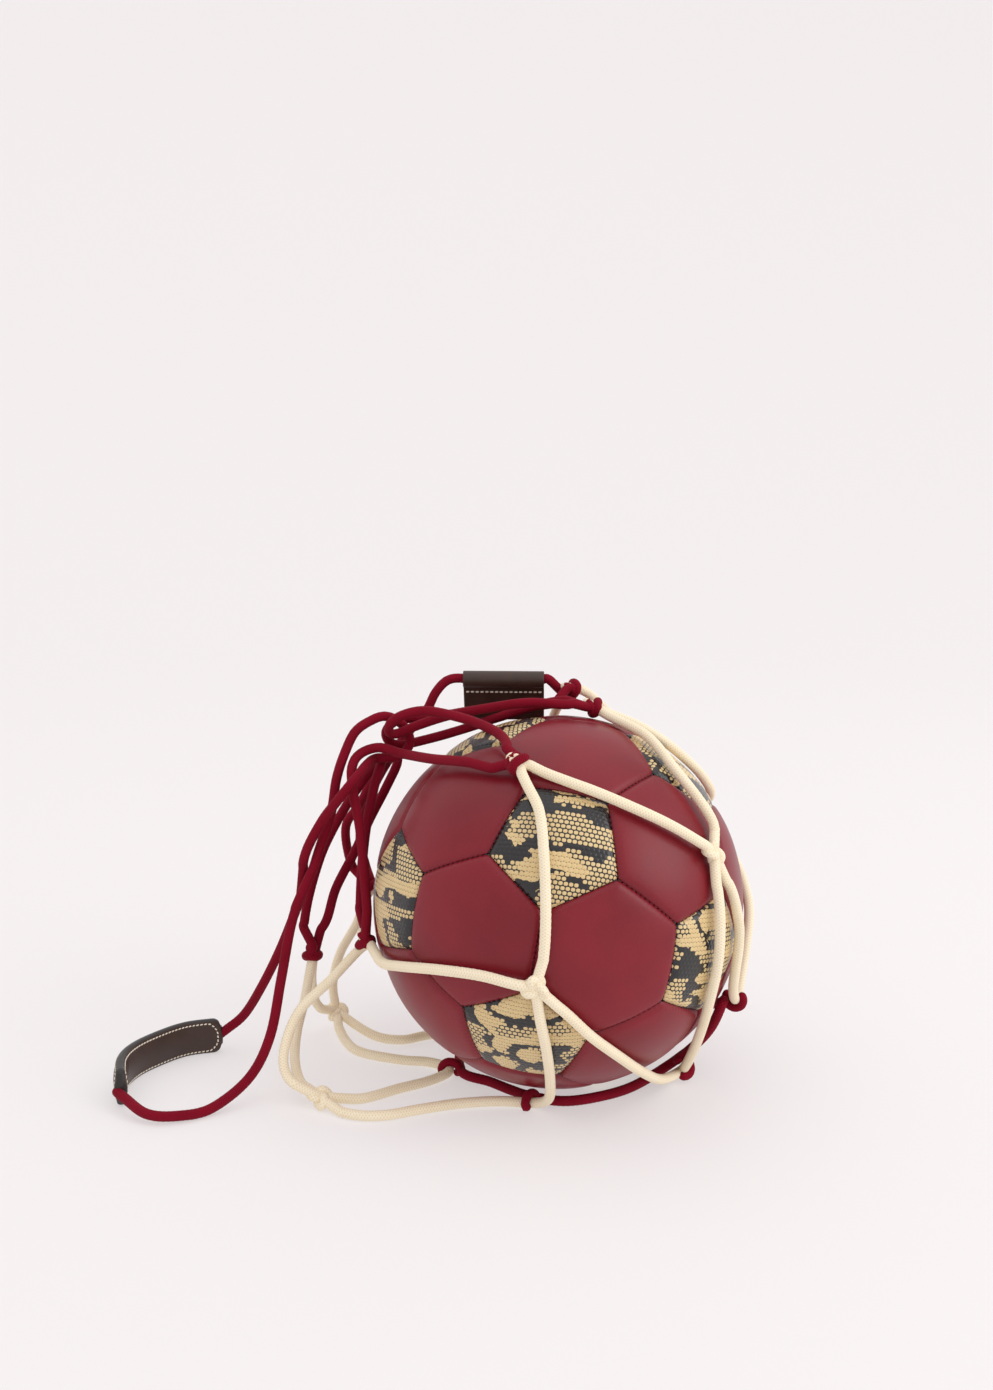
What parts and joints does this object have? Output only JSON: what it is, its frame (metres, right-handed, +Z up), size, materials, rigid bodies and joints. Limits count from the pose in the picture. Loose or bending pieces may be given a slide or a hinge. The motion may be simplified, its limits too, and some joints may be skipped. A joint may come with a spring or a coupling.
{
  "type": "football in a net carry bag",
  "caption": "Stitched panel football held in a knotted cord net bag with a long carry loop, a leather hand pad and a small leather tag.",
  "frame": {"origin": "the ball's resting point on the floor, under its centre", "axes": "+Z up; +X to the right and +Y to the back, seen with the carry loop lying out to the left"},
  "size_m": [0.3783, 0.2449, 0.2392],
  "materials": {
    "dark_red_leather": "smooth satin leather",
    "snake_print_leather": "embossed scale print, cream on black, satin",
    "lining_cloth": "bonded cotton cloth",
    "bladder_rubber": "matte",
    "valve_rubber": "matte",
    "natural_cord": "round cotton cord, matte",
    "dark_red_cord": "round knitted cotton cord, matte",
    "brown_leather": "smooth bridle leather, stitched"
  },
  "bodies": {
    "net": {"base_ring": "dark_red_cord", "lower_cord_1": "natural_cord", "lower_cord_2": "natural_cord", "lower_cord_3": "natural_cord", "lower_cord_4": "natural_cord", "lower_cord_5": "natural_cord", "lower_cord_6": "natural_cord", "upper_cord_1": "natural_cord", "upper_cord_2": "natural_cord", "upper_cord_3": "natural_cord", "upper_cord_4": "natural_cord", "upper_cord_5": "natural_cord", "upper_cord_6": "natural_cord", "top_cord_1": "dark_red_cord", "top_cord_2": "dark_red_cord", "top_cord_3": "dark_red_cord", "top_cord_4": "dark_red_cord", "top_cord_5": "dark_red_cord", "top_cord_6": "dark_red_cord", "carry_hitch": "dark_red_cord"},
    "ball": {"pentagon_panel_01": "snake_print_leather", "pentagon_panel_02": "snake_print_leather", "pentagon_panel_03": "snake_print_leather", "pentagon_panel_04": "snake_print_leather", "pentagon_panel_05": "snake_print_leather", "pentagon_panel_06": "snake_print_leather", "pentagon_panel_07": "snake_print_leather", "pentagon_panel_08": "snake_print_leather", "pentagon_panel_09": "snake_print_leather", "pentagon_panel_10": "snake_print_leather", "pentagon_panel_11": "snake_print_leather", "pentagon_panel_12": "snake_print_leather", "hexagon_panel_01": "dark_red_leather", "hexagon_panel_02": "dark_red_leather", "hexagon_panel_03": "dark_red_leather", "hexagon_panel_04": "dark_red_leather", "hexagon_panel_05": "dark_red_leather", "hexagon_panel_06": "dark_red_leather", "hexagon_panel_07": "dark_red_leather", "hexagon_panel_08": "dark_red_leather", "hexagon_panel_09": "dark_red_leather", "hexagon_panel_10": "dark_red_leather", "hexagon_panel_11": "dark_red_leather", "hexagon_panel_12": "dark_red_leather", "hexagon_panel_13": "dark_red_leather", "hexagon_panel_14": "dark_red_leather", "hexagon_panel_15": "dark_red_leather", "hexagon_panel_16": "dark_red_leather", "hexagon_panel_17": "dark_red_leather", "hexagon_panel_18": "dark_red_leather", "hexagon_panel_19": "dark_red_leather", "hexagon_panel_20": "dark_red_leather", "lining": "lining_cloth", "bladder": "bladder_rubber", "valve_body": "valve_rubber", "valve_core": "valve_rubber"},
    "carry_loop": {"carry_cord_near": "dark_red_cord", "carry_cord_far": "dark_red_cord", "hand_pad": "brown_leather"},
    "tag": {"tag": "brown_leather"}
  },
  "joints": [
    {"name": "ball_spin", "type": "hinge", "parent": "net", "child": "ball", "pos_m": [0, 0, 0.109], "axis": [0, 0, 1], "continuous": true},
    {"name": "carry_lift", "type": "hinge", "parent": "net", "child": "carry_loop", "pos_m": [-0.151, -0.0145, 0.117], "axis": [0, 1, 0], "range_deg": [0, 75]},
    {"name": "tag_swing", "type": "hinge", "parent": "net", "child": "tag", "pos_m": [-0.034, 0.049, 0.234], "axis": [1, 0, 0], "range_deg": [-10, 60]}
  ]
}
